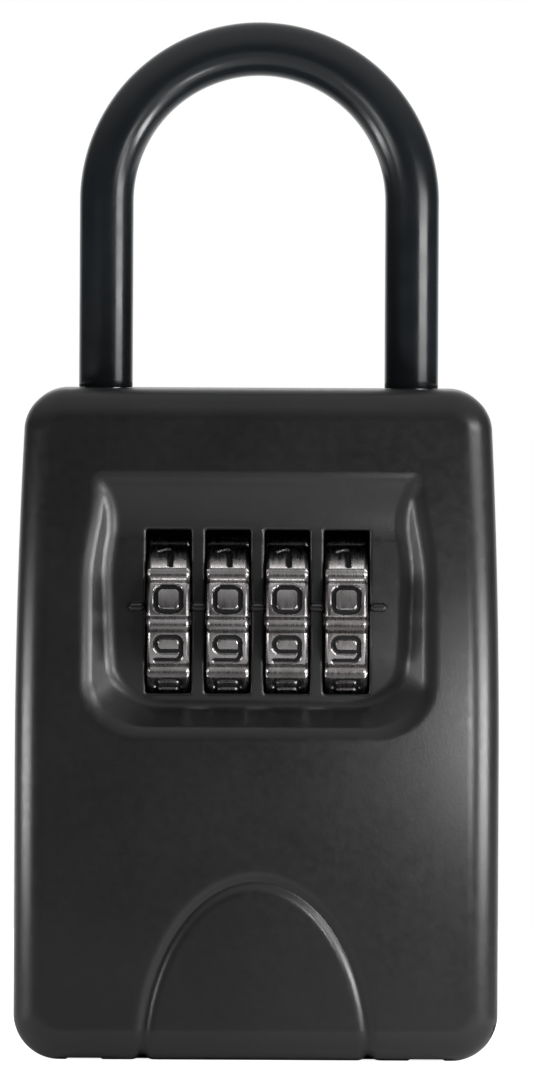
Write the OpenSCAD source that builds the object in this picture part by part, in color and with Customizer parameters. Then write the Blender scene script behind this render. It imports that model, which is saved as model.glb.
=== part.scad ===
// Portable key lock box with four number wheels and a removable coated shackle.
// Millimetres. X runs right, Y runs back, Z runs up. The origin is on the base, in the middle.
// Every piece is drawn with the code dialled and both latches drawn back.

/* [Body] */
// Width of the body at its base
body_w = 65.1; // [63:0.1:72]
// Height of the body without the shackle
body_h = 90.2; // [88:0.1:100]
// Depth over the front wheels and the back face
overall_d = 38; // [37:0.1:44]
// How far each side leans in by the top
side_taper = 1.4; // [0.6:0.1:2]
// Height where the sides start to lean in
taper_start = 40.3; // [30:0.1:50]
// Radius of the two top corners, seen from the front
top_corner_r = 5.4; // [4.4:0.1:6.5]
// Radius of the two bottom corners, seen from the front
bottom_corner_r = 6.2; // [5:0.1:7]
// Radius of the door's front edges and of its hinge barrel
front_edge_r = 4.2; // [4.2:0.1:4.6]
// Radius of the housing's back edges
back_edge_r = 3; // [1.5:0.1:3.5]
// Thickness of the cast walls
wall = 3; // [2.6:0.1:3.2]
// Depth of the door from its face to the seam
door_d = 8.4; // [8.4:0.1:9.2]
// Gap along the seam between door and housing
seam_gap = 0.25; // [0.15:0.05:0.4]

/* [Housing lip] */
// Thickness of the lip that stands inside the door
lip_t = 1.2; // [0.8:0.1:1.5]
// How far the lip reaches into the door
lip_reach = 1.6; // [1:0.1:2]
// Height where the lip starts
lip_foot_z = 14; // [12:1:30]
// Depth of the root that joins the lip to the housing's wall
lip_root = 0.9; // [0.6:0.1:1]

/* [Recess] */
// Distance from the body's top to the recess's upper edge
recess_drop = 12.1; // [11.6:0.1:12.8]
// Height of the recess
recess_h = 33.9; // [33:0.1:35]
// Half the width of the recess at its upper edge
recess_top_half_w = 21.5; // [20:0.1:22]
// Half the width of the recess at its widest
recess_half_w = 23.7; // [22.5:0.1:24.4]
// Radius of the recess's lower corners
recess_corner_r = 6.7; // [5:0.1:8]
// Distance from the recess's upper edge to the floor's upper edge
floor_drop = 6.8; // [6.5:0.1:7.1]
// Height of the recess floor
floor_h = 23.7; // [23:0.1:24.3]
// Half the width of the floor at its upper edge
floor_top_half_w = 20.2; // [19:0.1:20.6]
// Half the width of the floor lower down
floor_half_w = 20.6; // [20:0.1:21.4]
// Radius of the floor's lower corners
floor_corner_r = 4; // [2:0.1:5]
// Lean of the floor, its face turned down
floor_tilt = 4; // [2:0.5:5]
// How far the floor lies in front of the wheel axis
floor_forward = 7.1; // [6.8:0.1:7.3]
// Thickness of the recess's walls
panel_t = 1.6; // [1.2:0.1:1.7]
// Height of the index marks above the wheel axis
index_rise = 1.7; // [1:0.1:2.8]
// Length of an index mark between two wheels
index_l = 1.8; // [1.2:0.1:2.2]
// Height of an index mark
index_h = 1; // [0.6:0.1:1.4]
// How far an index mark stands out
index_out = 0.6; // [0.3:0.1:1]

/* [Face groove] */
// Half the width of the arched groove at the base
arch_half_w = 15.2; // [13:0.1:18]
// Height of the arched groove
arch_h = 24; // [20:0.1:27]
// Width of the arched groove
arch_groove_w = 1.8; // [1:0.1:2.4]
// Depth of the arched groove
arch_groove_d = 0.6; // [0.4:0.1:0.8]

/* [Number wheels] */
// Number of wheels
wheel_count = 4; // [4:1:4]
// Radius of a wheel over its lands
wheel_r = 11.05; // [10.8:0.05:11.2]
// Width of a wheel
wheel_w = 5.7; // [5.5:0.05:5.8]
// Distance from wheel to wheel
wheel_pitch = 7.97; // [7.9:0.01:8.1]
// Distance from the body's top to the wheel axis
wheel_drop = 31; // [30.6:0.1:31.4]
// How far the wheels stand proud of the face
wheel_proud = 0.6; // [0:0.1:1]
// Numbers on a wheel
wheel_steps = 10; // [10:1:10]
// Angle of the number on the reading line, above straight ahead
reading_angle = 15; // [10:1:20]
// Depth of the finger flutes
flute_depth = 1; // [0.6:0.05:1.1]
// Radius of the finger flutes
flute_r = 1.1; // [1.1:0.05:1.3]
// Bevel on a wheel's ends
wheel_bevel = 0.45; // [0.2:0.05:0.6]
// Width of a wheel window
window_w = 6.07; // [6:0.01:6.2]
// Space between a wheel's rim and its window
rim_gap = 0.25; // [0.2:0.05:0.4]

/* [Code sleeves] */
// Radius of a sleeve's drum
sleeve_r = 4.9; // [4.8:0.05:5]
// Running clearance of the drum in its wheel and of the sleeve on the spindle, on the radius
running_gap = 0.08; // [0.05:0.01:0.1]
// Radius inside a sleeve's cup
cup_r = 4.1; // [4:0.05:4.2]
// Distance from the wheel's middle to the sleeve's gate face
gate_face = 2.8; // [2.75:0.01:2.82]
// Thickness of the gate wall
gate_t = 1.2; // [1:0.1:1.3]
// Distance from the wheel's middle to the cup's mouth
cup_mouth = 1.5; // [1.4:0.05:1.55]
// Width of the gate slot and of the spindle's way through it
gate_slot_w = 1.9; // [1.8:0.05:2.2]
// Height of the lug that keys a sleeve to its wheel
lug_h = 0.7; // [0.5:0.05:0.8]
// Width of the lug
lug_w = 1.2; // [0.9:0.1:1.3]
// Length of the lug
lug_l = 1.25; // [1:0.05:1.3]
// Travel of the sleeves when the code is changed
reset_travel = 1.3; // [1.3:0.01:1.32]

/* [Spindle and latch] */
// Radius of the locking spindle
spindle_r = 1.5; // [1.3:0.05:1.6]
// Reach of a spindle tooth from the axis
tooth_reach = 3.8; // [3.4:0.05:3.9]
// Thickness of a spindle tooth along the spindle
tooth_t = 1; // [0.8:0.05:1]
// Height of a spindle tooth
tooth_h = 1.5; // [1:0.1:1.6]
// Distance from the wheel's middle to the tooth when unlocked
tooth_back = 4.2; // [4.15:0.01:4.25]
// Travel of the spindle and the latch
latch_travel = 4.1; // [4.05:0.01:4.15]
// Thickness of the pressed steel plates
plate_t = 1.2; // [1:0.1:1.2]
// Distance from the latch bar's lower edge up to the hooks
bar_drop = 5.5; // [5.2:0.1:5.6]
// Height of the latch bar
bar_h = 9.6; // [9.4:0.1:9.8]
// Distance from the door's seam plane to the latch bar
bar_ahead = 2; // [1.9:0.1:2.1]
// Width of the latch arm that carries the spindle
arm_w = 2.6; // [2.2:0.1:2.6]
// Space between the latch arm and the door's side wall
arm_room = 2.75; // [2.6:0.05:2.9]
// Width of a hook's shank
hook_w = 3; // [2.4:0.1:3.2]
// Height of a hook
hook_h = 3; // [2.4:0.1:3]
// Reach of a hook's tip
hook_tip = 3.5; // [3:0.1:3.6]
// Thickness of a hook's tip
hook_tip_t = 1.5; // [1.2:0.1:1.5]
// Distance from the inside of the top wall to the hooks' lower edge
hook_drop = 5.2; // [5:0.1:5.4]
// Clearance between sliding pieces
slide_gap = 0.3; // [0.2:0.05:0.35]

/* [Mechanism] */
// Thickness of the reset comb's plate
comb_t = 1.5; // [1.2:0.1:1.5]
// Thickness of the mechanism cover
cover_t = 1.2; // [1:0.1:1.4]
// Distance from the wheels' backs to the comb's plate
comb_gap = 0.7; // [0.6:0.05:0.8]
// Space between the mechanism cover and the door's side wall
cover_room = 6.05; // [5.6:0.05:6.5]
// Radius of the posts that carry the mechanism cover
post_r = 2.2; // [2:0.1:2.4]
// Radius of the small screws' shanks
screw_r = 1; // [0.8:0.05:1.1]
// Radius of the small screws' heads
screw_head_r = 1.9; // [1.7:0.1:2]
// Height of the small screws' heads
screw_head_h = 1.1; // [0.8:0.1:1.2]

/* [Hinge] */
// Radius of the hinge pin
pin_r = 1.25; // [1:0.05:1.4]
// Running clearance of the pin in the door, on the radius
pin_gap = 0.07; // [0.03:0.01:0.1]
// Distance from the body's side to each hinge ear
ear_inset = 7.55; // [6.5:0.05:10]
// Width of a hinge ear
ear_w = 4; // [3:0.5:5]
// Radius of a hinge ear's eye
ear_r = 3; // [2.8:0.05:3]
// Widest angle of the open door
door_open = 95; // [60:5:95]

/* [Shackle] */
// Diameter over the shackle's coating
shackle_d = 7.25; // [7:0.05:7.5]
// Diameter of the shackle's steel bar
bar_d = 6; // [5.8:0.05:6]
// Distance between the legs' axes
leg_spacing = 41.27; // [40.8:0.01:41.8]
// Length of the straight legs above the body
leg_above = 25.2; // [15:0.1:60]
// Distance of the legs behind the door's seam plane
shackle_back = 14; // [13.9:0.1:14.1]
// Depth of the legs below the top face
leg_below = 12.7; // [12.5:0.1:12.8]
// Height of the block that takes the legs
block_h = 6; // [5.8:0.1:6.2]
// Clearance of the legs in their bores, on the radius
leg_gap = 0.05; // [0.03:0.01:0.1]
// Travel of the shackle until it lifts out
shackle_travel = 16; // [14:0.5:40]
// Travel of the shackle's own latch
shackle_latch_travel = 1.8; // [1.6:0.1:2]
// Depth of the notches in the legs
notch_depth = 2; // [1.9:0.1:2.2]

/* [Hidden] */

$fn = 64;
eps = 0.01;
touch_gap = 0.02;

half_w = body_w / 2;
inner_half_w = half_w - wall;
back_y = overall_d / 2;
front_y = -overall_d / 2 + wheel_proud;
seam_y = front_y + door_d;
axis_y = front_y - wheel_proud + wheel_r;
pivot_y = front_y + front_edge_r;
pivot_z = front_edge_r;
inner_front_y = front_y + wall;
inner_back_y = back_y - wall;
inner_top_z = body_h - wall;
recess_top_z = body_h - recess_drop;
recess_bottom_z = recess_top_z - recess_h;
floor_top_z = recess_top_z - floor_drop;
floor_bottom_z = floor_top_z - floor_h;
panel_mid_y = axis_y - floor_forward + panel_t / 2;

wheel_z = body_h - wheel_drop;
index_z = wheel_z + index_rise;
wheel_half = wheel_w / 2;
rib_w = wheel_pitch - window_w;
wheel_xs = [for (i = [0:wheel_count - 1]) (i - (wheel_count - 1) / 2) * wheel_pitch];
step_angle = 360 / wheel_steps;
bore_r = sleeve_r + running_gap;
lug_room_r = sleeve_r + lug_h + 0.15;
lug_x = cup_mouth - lug_l - 0.9;

hook_z = inner_top_z - hook_drop;
bar_z = hook_z - bar_drop;
bar_y = seam_y - bar_ahead - plate_t;
arm_x = inner_half_w - arm_room;
arm_y = axis_y + 0.1;
arm_z = wheel_z - 2.3;
hook_xs = [-9, 8];
guide_xs = [-3, 9.5];
guide_z = hook_z - 3;
shoulder_r = 1.5;
guide_head_r = 2.6;
latch_spring_l = 5.8;
latch_window_x = -12.2;
latch_post_t = 1.5;

left_wall_x = wheel_xs[0] - 5.35;
right_wall_x = wheel_xs[wheel_count - 1] + wheel_half + 0.4;
bearing_t = 2.5;

comb_y = axis_y + wheel_r + comb_gap;
comb_arm_t = 0.9;
comb_arm_x = -5.1;
comb_arm_z = wheel_z + 1.7;
comb_arm_h = 2.3;
comb_z = wheel_z + 0.3;
comb_h = 6.5;
comb_right_x = 9.5;
cover_y = comb_y + comb_t + 0.1;
cover_back_y = cover_y + cover_t;
cover_half_w = inner_half_w - cover_room;
cover_bottom_z = wheel_z - 15.7;
cover_top_z = wheel_z + 13.3;
cover_screw_l = 4.8;
screw_end_y = cover_y - cover_screw_l - 1;
tab_w = 6;
tab_h = 4.4;
reset_spring_l = 5;

post_low = [cover_half_w - 2.5, cover_bottom_z + 2.5];
post_high = [right_wall_x + 2.3, cover_top_z + 0.3];

strike_y = seam_y + 1.4;
strike_x = [-14, 20];
strike_z = hook_z - 3;
strike_screw_xs = [-12, 4.5];
strike_thread_l = 1.8;

block_z = inner_top_z - block_h;
latch_room = 1.9;
retainer_t = 1.5;
retainer_z = block_z - latch_room - retainer_t;
block_half_w = inner_half_w - 3.15;
shackle_y = seam_y + shackle_back;
latch_half_d = 4.6;
latch_tab_half_w = 5;
leg_spring_x = -10.7;
leg_spring_l = 5.3;
leg_spring_r = 0.55;
block_y = [shackle_y - latch_half_d - 2, shackle_y + latch_half_d + 3.4];
strike_screw_y = (strike_y + plate_t + block_y[0]) / 2;
leg_x = leg_spacing / 2;
leg_end_z = body_h - leg_below;
latch_plate_z = block_z - latch_room + 0.2;
latch_plate_t = 1.5;
leg_room = bar_d / 2 + 0.25;
arch_z = body_h + leg_above;
retainer_screw_xs = [-14, 0, 14];
retainer_screw_y = (shackle_y + latch_half_d + 0.2 + block_y[1]) / 2;
retainer_thread_l = 4;
ear_x = half_w - ear_inset - ear_w;

coating = "#25292d";
nickel = "#5d6166";
steel = "#a9adb1";
vinyl = "#1b1e21";

// Half the body's width at a height
function side_half(z) =
  half_w - side_taper * pow(max(0, z - taper_start) / (body_h - taper_start), 2);

// Points of a round corner, from one angle to another
function corner(x, z, r, from, to, steps = 6) =
  [for (i = [0:steps]) let (a = from + (to - from) * i / steps) [x + r * cos(a), z + r * sin(a)]];

// Right half of the body's front outline, from the base to the top, drawn in by an inset
function right_outline(inset) =
  let (
    low_r = bottom_corner_r - inset,
    high_r = top_corner_r - inset,
    high_z = body_h - top_corner_r,
    sides = 8
  )
  concat(
    corner(half_w - bottom_corner_r, bottom_corner_r, low_r, -90, 0),
    [for (i = [0:sides]) let (z = taper_start + (high_z - taper_start) * i / sides)
      [side_half(z) - inset, z]],
    corner(side_half(high_z) - top_corner_r, high_z, high_r, 9, 90)
  );

function mirrored(points) =
  [for (i = [len(points) - 1:-1:0]) [-points[i][0], points[i][1]]];

function outline(inset) = concat(right_outline(inset), mirrored(right_outline(inset)));

// A recess outline: narrow and square at the top, wider and round at the bottom
function recess_half(top_half, low_half, top_z, low_z, r, grow) =
  concat(
    corner(low_half - r, low_z + r, r + grow, -90, 0),
    [[low_half + grow, low_z + r + 2], [top_half + grow, top_z + grow]]
  );

function recess_outline(top_half, low_half, top_z, low_z, r, grow) =
  let (right = recess_half(top_half, low_half, top_z, low_z, r, grow))
  concat(right, mirrored(right));

// Points of half an ellipse that stands on the base
function half_ellipse(a, b, steps = 48) =
  [for (i = [0:steps]) let (t = -8 + 196 * i / steps) [a * cos(t), b * sin(t)]];

// Extrudes a front outline from one depth to another
module front_slab(y0, y1) {
  translate([0, y1, 0])
    rotate([90, 0, 0])
      linear_extrude(y1 - y0)
        children();
}

module body_slab(y0, y1, inset) {
  front_slab(y0, y1) polygon(outline(inset));
}

// A box from its lowest to its highest corner
module block(low, high) {
  translate(low) cube(high - low);
}

// A cylinder along X from x0 to x1 about a point of the YZ plane
module rod_x(x0, x1, y, z, r) {
  translate([x0, y, z]) rotate([0, 90, 0]) cylinder(h = x1 - x0, r = r);
}

// A cylinder along Y from y0 to y1
module rod_y(x, z, y0, y1, r) {
  translate([x, y1, z]) rotate([90, 0, 0]) cylinder(h = y1 - y0, r = r);
}

module rod_z(x, y, z0, z1, r) {
  translate([x, y, z0]) cylinder(h = z1 - z0, r = r);
}

// A slot with round ends along X, cut through a plate along Y
module slot_y(x0, x1, z, y0, y1, r) {
  rod_y(x0 + r, z, y0, y1, r);
  rod_y(x1 - r, z, y0, y1, r);
  block([x0 + r, y0, z - r], [x1 - r, y1, z + r]);
}

// A pan-head screw along -Y, its head at the back
module screw_back(x, z, seat_y, length) {
  rod_y(x, z, seat_y - length, seat_y + eps, screw_r);
  difference() {
    rod_y(x, z, seat_y, seat_y + screw_head_h, screw_head_r);
    block([x - screw_head_r, seat_y + screw_head_h - 0.5, z - 0.25],
          [x + screw_head_r, seat_y + screw_head_h + 1, z + 0.25]);
  }
}

// A pan-head screw along +Z, its head below
module screw_up(x, y, seat_z, length) {
  rod_z(x, y, seat_z - eps, seat_z + length, screw_r);
  difference() {
    rod_z(x, y, seat_z - screw_head_h, seat_z, screw_head_r);
    block([x - screw_head_r, y - 0.25, seat_z - screw_head_h - 1],
          [x + screw_head_r, y + 0.25, seat_z - screw_head_h + 0.5]);
  }
}

// Ring of points round a helix that runs along X
function helix_ring(i, per_turn, pitch, coil_r, wire_r, sides) =
  let (a = 360 * i / per_turn, x = pitch * i / per_turn + wire_r)
  [for (k = [0:sides - 1]) let (b = 360 * k / sides)
    [x + wire_r * sin(b), (coil_r + wire_r * cos(b)) * cos(a), (coil_r + wire_r * cos(b)) * sin(a)]];

// A coil spring along +X from the origin
module coil_spring(length, turns, coil_r, wire_r) {
  per_turn = 12;
  sides = 6;
  rings = turns * per_turn;
  pitch = (length - 2 * wire_r) / turns;
  points = [for (i = [0:rings]) each helix_ring(i, per_turn, pitch, coil_r, wire_r, sides)];
  skin = [for (i = [0:rings - 1], k = [0:sides - 1])
    let (a = i * sides + k, b = i * sides + (k + 1) % sides)
    each [[a, b, b + sides], [a, b + sides, a + sides]]];
  start_cap = [for (k = [sides - 1:-1:0]) k];
  end_cap = [for (k = [0:sides - 1]) rings * sides + k];
  echo(least_gap = pitch - 2 * wire_r);
  polyhedron(points, concat(skin, [start_cap], [end_cap]));
}

module color_cast() {
  color(coating) children();
}

// Rear housing

// Outer block of the housing with its rounded back edges
module housing_block() {
  steps = 5;
  hull() {
    body_slab(seam_y + seam_gap, back_y - back_edge_r, 0);
    for (i = [1:steps]) {
      a = 90 * i / steps;
      y = back_y - back_edge_r + back_edge_r * sin(a);
      body_slab(y - eps, y, back_edge_r * (1 - cos(a)));
    }
  }
}

// The lip that stands inside the door along its top and sides
module housing_lip() {
  y0 = seam_y + seam_gap - lip_reach;
  difference() {
    body_slab(y0, seam_y + seam_gap + lip_root, wall + slide_gap);
    body_slab(y0 - 1, seam_y + seam_gap + 2, wall + slide_gap + lip_t);
    block([-half_w, y0 - 1, -1], [half_w, seam_y + seam_gap + 2, lip_foot_z]);
  }
  difference() {
    body_slab(seam_y + seam_gap, seam_y + seam_gap + lip_root, wall - 0.1);
    body_slab(y0 - 1, seam_y + seam_gap + 2, wall + slide_gap + lip_t);
    block([-half_w, y0 - 1, -1], [half_w, seam_y + seam_gap + 2, lip_foot_z]);
  }
}

// One eye and its root, which reach forward from the housing's floor
module hinge_ear(x0) {
  x1 = x0 + ear_w;
  neck_top = pivot_z + ear_r;
  rod_x(x0, x1, pivot_y, pivot_z, ear_r);
  block([x0, pivot_y, pivot_z - 0.5], [x1, seam_y + seam_gap + 1, neck_top]);
  block([x0, seam_y + seam_gap, 1], [x1, seam_y + seam_gap + 5, neck_top]);
}

// Cast block under the top wall that takes the shackle's legs
module leg_block() {
  front = block_y[0];
  back = block_y[1];
  land_z = block_z - latch_room;
  block([-block_half_w, front, block_z], [block_half_w, back, inner_top_z + 0.5]);
  for (side = [-1, 1])
    block([side > 0 ? 8.4 : -block_half_w, front, land_z],
          [side > 0 ? block_half_w : -6.4, shackle_y - latch_half_d - 0.2, block_z + 0.5]);
  block([-block_half_w, shackle_y + latch_half_d + 0.2, land_z], [block_half_w, back, block_z + 0.5]);
  block([-12, shackle_y + 1.6, land_z + 0.1], [-10.8, shackle_y + 3.4, block_z + 0.5]);
}

module rear_housing() {
  color_cast()
    difference() {
      union() {
        difference() {
          housing_block();
          body_slab(seam_y - 1, inner_back_y, wall);
        }
        housing_lip();
        hinge_ear(ear_x);
        hinge_ear(-ear_x - ear_w);
        leg_block();
      }
      rod_x(-ear_x - ear_w - 1, ear_x + ear_w + 1, pivot_y, pivot_z, pin_r + touch_gap);
      for (side = [-1, 1])
        rod_z(side * leg_x, shackle_y, block_z - latch_room - 1, body_h + 1, bar_d / 2 + leg_gap);
      for (x = retainer_screw_xs)
        rod_z(x, retainer_screw_y, block_z - latch_room - 1,
              block_z - latch_room + retainer_thread_l + 1, screw_r + touch_gap);
      for (x = strike_screw_xs)
        rod_z(x, strike_screw_y, inner_top_z - 1, inner_top_z + strike_thread_l + 0.2, screw_r + touch_gap);
    }
}

// Front door

// Outer block of the door with its rounded front edges
module door_block() {
  steps = 6;
  hull() {
    body_slab(pivot_y, seam_y, 0);
    for (i = [1:steps]) {
      a = 90 * i / steps;
      y = pivot_y - front_edge_r * sin(a);
      body_slab(y, y + eps, front_edge_r * (1 - cos(a)));
    }
  }
}

// The room behind the barrel that the door gives up below its pivot
module below_barrel() {
  difference() {
    block([-half_w - 1, pivot_y, -1], [half_w + 1, seam_y + 1, pivot_z]);
    rod_x(-half_w - 2, half_w + 2, pivot_y, pivot_z, front_edge_r);
  }
}

// The recess as a solid, or with its walls added when it is grown
module recess_solid(grow) {
  floor_mid_z = wheel_z;
  hull() {
    front_slab(front_y - (grow > 0 ? -0.5 : 1), front_y + (grow > 0 ? 0.6 : eps))
      polygon(recess_outline(recess_top_half_w, recess_half_w, recess_top_z, recess_bottom_z,
                             recess_corner_r, grow));
    translate([0, axis_y - floor_forward + grow, floor_mid_z])
      rotate([floor_tilt, 0, 0])
        translate([0, 0, -floor_mid_z])
          front_slab(-eps, 0)
            polygon(recess_outline(floor_top_half_w, floor_half_w, floor_top_z, floor_bottom_z,
                                   floor_corner_r, grow));
  }
}

// The half ring cut in the face above the base
module arch_groove() {
  front_slab(front_y - 1, front_y + arch_groove_d)
    difference() {
      polygon(half_ellipse(arch_half_w + arch_groove_w / 2, arch_h + arch_groove_w / 2));
      polygon(half_ellipse(arch_half_w - arch_groove_w / 2, arch_h - arch_groove_w / 2));
    }
}

// One window for a wheel, round behind so that the rim clears it
module wheel_window(x) {
  block([x - window_w / 2, front_y, floor_bottom_z + 1.7], [x + window_w / 2, axis_y + 4, floor_top_z]);
  rod_x(x - window_w / 2, x + window_w / 2, axis_y, wheel_z, wheel_r + rim_gap);
}

// A round-ended mark on the recess floor
module index_mark(x, length) {
  y = axis_y - floor_forward - (index_z - wheel_z) * tan(floor_tilt);
  r = index_h / 2;
  front_slab(y - index_out, y + 0.5) {
    translate([x - length / 2 + r, index_z]) circle(r);
    translate([x + length / 2 - r, index_z]) circle(r);
    translate([x - length / 2 + r, index_z - r]) square([length - index_h, index_h]);
  }
}

// A wall that carries one end of the spindle, open at the back
module bearing_wall(x0) {
  difference() {
    block([x0, panel_mid_y, wheel_z - 5], [x0 + bearing_t, axis_y + 4, wheel_z + 5]);
    rod_x(x0 - 1, x0 + bearing_t + 1, axis_y, wheel_z, spindle_r + running_gap);
    block([x0 - 1, axis_y, wheel_z - spindle_r - running_gap],
          [x0 + bearing_t + 1, axis_y + 5, wheel_z + spindle_r + running_gap]);
  }
}

// The door's inner bosses, posts, ribs and bearing walls
module door_inside() {
  for (side = [-1, 1]) {
    rod_y(side * post_low[0], post_low[1], inner_front_y - 1, cover_y, post_r);
    rod_y(side * post_high[0], post_high[1], panel_mid_y - 1.3, cover_y, post_r);
  }
  for (x = guide_xs)
    rod_y(x, guide_z, inner_front_y - 1, bar_y - 0.1, 2.8);
  for (i = [1:wheel_count - 1]) {
    x = (wheel_xs[i - 1] + wheel_xs[i]) / 2;
    block([x - rib_w / 2, panel_mid_y, floor_bottom_z + 3],
          [x + rib_w / 2, axis_y - spindle_r - slide_gap, floor_top_z - 2]);
  }
  bearing_wall(left_wall_x - bearing_t);
  bearing_wall(right_wall_x);
  block([latch_window_x - latch_spring_l - 0.1 - latch_post_t, inner_front_y - 1, hook_z - 1.2],
        [latch_window_x - latch_spring_l - 0.1, bar_y + plate_t + 0.5, hook_z + 1.8]);
}

// Room for a hinge ear through the door's whole swing
module ear_room(x0) {
  gap = 0.25;
  reach = 7;
  swept = [for (a = [75:-13:-door_open - 12]) [reach * cos(a), reach * sin(a)]];
  x1 = x0 + ear_w + gap;
  rod_x(x0 - gap, x1, pivot_y, pivot_z, ear_r + gap);
  translate([x0 - gap, pivot_y, pivot_z])
    rotate([90, 0, 90])
      linear_extrude(ear_w + 2 * gap)
        polygon(concat([[0, 0]], swept, [[reach * cos(door_open + 12), -reach * sin(door_open + 12)]]));
}

module front_door() {
  color_cast()
    difference() {
      union() {
        difference() {
          door_block();
          body_slab(inner_front_y, seam_y + 1, wall);
        }
        intersection() {
          door_block();
          rod_x(-half_w - 2, half_w + 2, pivot_y, pivot_z, front_edge_r);
        }
        difference() {
          recess_solid(panel_t);
          body_slab(front_y - 2, front_y + 1, -5);
        }
        door_inside();
      }
      recess_solid(0);
      for (x = wheel_xs)
        wheel_window(x);
      arch_groove();
      below_barrel();
      ear_room(ear_x);
      ear_room(-ear_x - ear_w);
      rod_x(-ear_x - ear_w - 2.2, half_w + 1, pivot_y, pivot_z, pin_r + pin_gap);
      for (side = [-1, 1]) {
        rod_y(side * post_low[0], post_low[1], screw_end_y, cover_y + 1, screw_r + touch_gap);
        rod_y(side * post_high[0], post_high[1], screw_end_y, cover_y + 1, screw_r + touch_gap);
      }
      for (x = guide_xs)
        rod_y(x, guide_z, inner_front_y - 1.6, bar_y + 1, screw_r + touch_gap);
    }
  color_cast() {
    for (i = [1:wheel_count - 1])
      index_mark((wheel_xs[i - 1] + wheel_xs[i]) / 2, index_l);
    for (side = [-1, 1])
      index_mark(side * (wheel_xs[wheel_count - 1] + window_w / 2 + 1.5), index_l);
  }
}

module hinge_pin() {
  color(steel) rod_x(-ear_x - ear_w - 2, half_w - 1.3, pivot_y, pivot_z, pin_r);
}

// Number wheels and code sleeves

// Places children at a wheel's middle, with the reading number's angle at -Y
module at_wheel(i, turn = 0) {
  translate([wheel_xs[i], axis_y, wheel_z]) rotate([-reading_angle - turn, 0, 0]) children();
}

module number_wheel(i) {
  far_r = wheel_r - wheel_bevel;
  flute_at = wheel_r + flute_r - flute_depth;
  notch_end = lug_x + lug_l + 0.05;
  at_wheel(i)
    difference() {
      rotate([0, 90, 0])
        rotate_extrude()
          polygon([
            [bore_r, -wheel_half], [far_r, -wheel_half], [wheel_r, -wheel_half + wheel_bevel],
            [wheel_r, wheel_half - wheel_bevel], [far_r, wheel_half], [bore_r, wheel_half]
          ]);
      rod_x(notch_end, wheel_half + 1, 0, 0, lug_room_r);
      for (k = [0:wheel_steps - 1]) {
        rotate([step_angle * (k + 0.5), 0, 0])
          rod_x(-wheel_w, wheel_w, -flute_at, 0, flute_r);
        rotate([step_angle * k, 0, 0])
          block([-wheel_w, -lug_room_r, -lug_w / 2 - 0.1], [notch_end + eps, 0, lug_w / 2 + 0.1]);
      }
    }
}

module code_sleeve(i) {
  at_wheel(i)
    difference() {
      union() {
        rod_x(-gate_face, cup_mouth, 0, 0, sleeve_r);
        block([lug_x, -sleeve_r - lug_h, -lug_w / 2], [lug_x + lug_l, -sleeve_r + 0.6, lug_w / 2]);
      }
      rod_x(-gate_face + gate_t, cup_mouth + 1, 0, 0, cup_r);
      rod_x(-gate_face - 1, cup_mouth + 1, 0, 0, spindle_r + running_gap);
      rotate([reading_angle, 0, 0])
        block([-gate_face - 1, 0, -gate_slot_w / 2], [-gate_face + gate_t + 1, cup_r, gate_slot_w / 2]);
    }
}

module number_wheel_1() { color(nickel) number_wheel(0); }
module number_wheel_2() { color(nickel) number_wheel(1); }
module number_wheel_3() { color(nickel) number_wheel(2); }
module number_wheel_4() { color(nickel) number_wheel(3); }
module code_sleeve_1() { color("#c9a24a") code_sleeve(0); }
module code_sleeve_2() { color("#c9a24a") code_sleeve(1); }
module code_sleeve_3() { color("#c9a24a") code_sleeve(2); }
module code_sleeve_4() { color("#c9a24a") code_sleeve(3); }

// Spindle and latch

module locking_spindle() {
  color(steel) {
    rod_x(-arm_x - 0.4, right_wall_x + bearing_t + 0.8, axis_y, wheel_z, spindle_r);
    for (x = wheel_xs)
      block([x - tooth_back, axis_y + spindle_r - 0.4, wheel_z - tooth_h / 2],
            [x - tooth_back + tooth_t, axis_y + tooth_reach, wheel_z + tooth_h / 2]);
  }
}

// One hook that reaches back through the strike plate
module latch_hook(x) {
  tip_y = strike_y + plate_t + slide_gap;
  block([x, bar_y + plate_t - eps, hook_z], [x + hook_w, tip_y + hook_tip_t, hook_z + hook_h]);
  translate([x, tip_y, hook_z])
    linear_extrude(hook_h)
      polygon([[0, 0], [hook_w + hook_tip, 0], [hook_w + hook_tip, 0.5], [hook_w, hook_tip_t],
               [0, hook_tip_t]]);
}

module latch_plate() {
  top_z = bar_z + bar_h;
  color(steel)
    difference() {
      union() {
        block([-arm_x, bar_y, bar_z], [hook_xs[1] + hook_w + 2, bar_y + plate_t, top_z]);
        block([-arm_x, bar_y, bar_z], [-arm_x + arm_w, arm_y + plate_t, bar_z + plate_t]);
        block([-arm_x, arm_y, arm_z], [-arm_x + arm_w, arm_y + plate_t, bar_z + eps]);
        block([-arm_x, axis_y - 1.9, arm_z], [-arm_x + arm_w, axis_y + 1.9, arm_z + 4.6]);
        for (x = hook_xs)
          latch_hook(x);
      }
      rod_x(-arm_x - 1, -arm_x + arm_w + 1, axis_y, wheel_z, spindle_r + touch_gap);
      block([latch_window_x - latch_spring_l - latch_post_t - latch_travel - 0.4, bar_y - 1, hook_z - 1.6],
            [latch_window_x, bar_y + plate_t + 1, hook_z + 2.2]);
      for (x = guide_xs)
        slot_y(x - latch_travel - shoulder_r - 0.15, x + shoulder_r + 0.15, guide_z,
               bar_y - 1, bar_y + plate_t + 1, shoulder_r + 0.1);
    }
}

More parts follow.
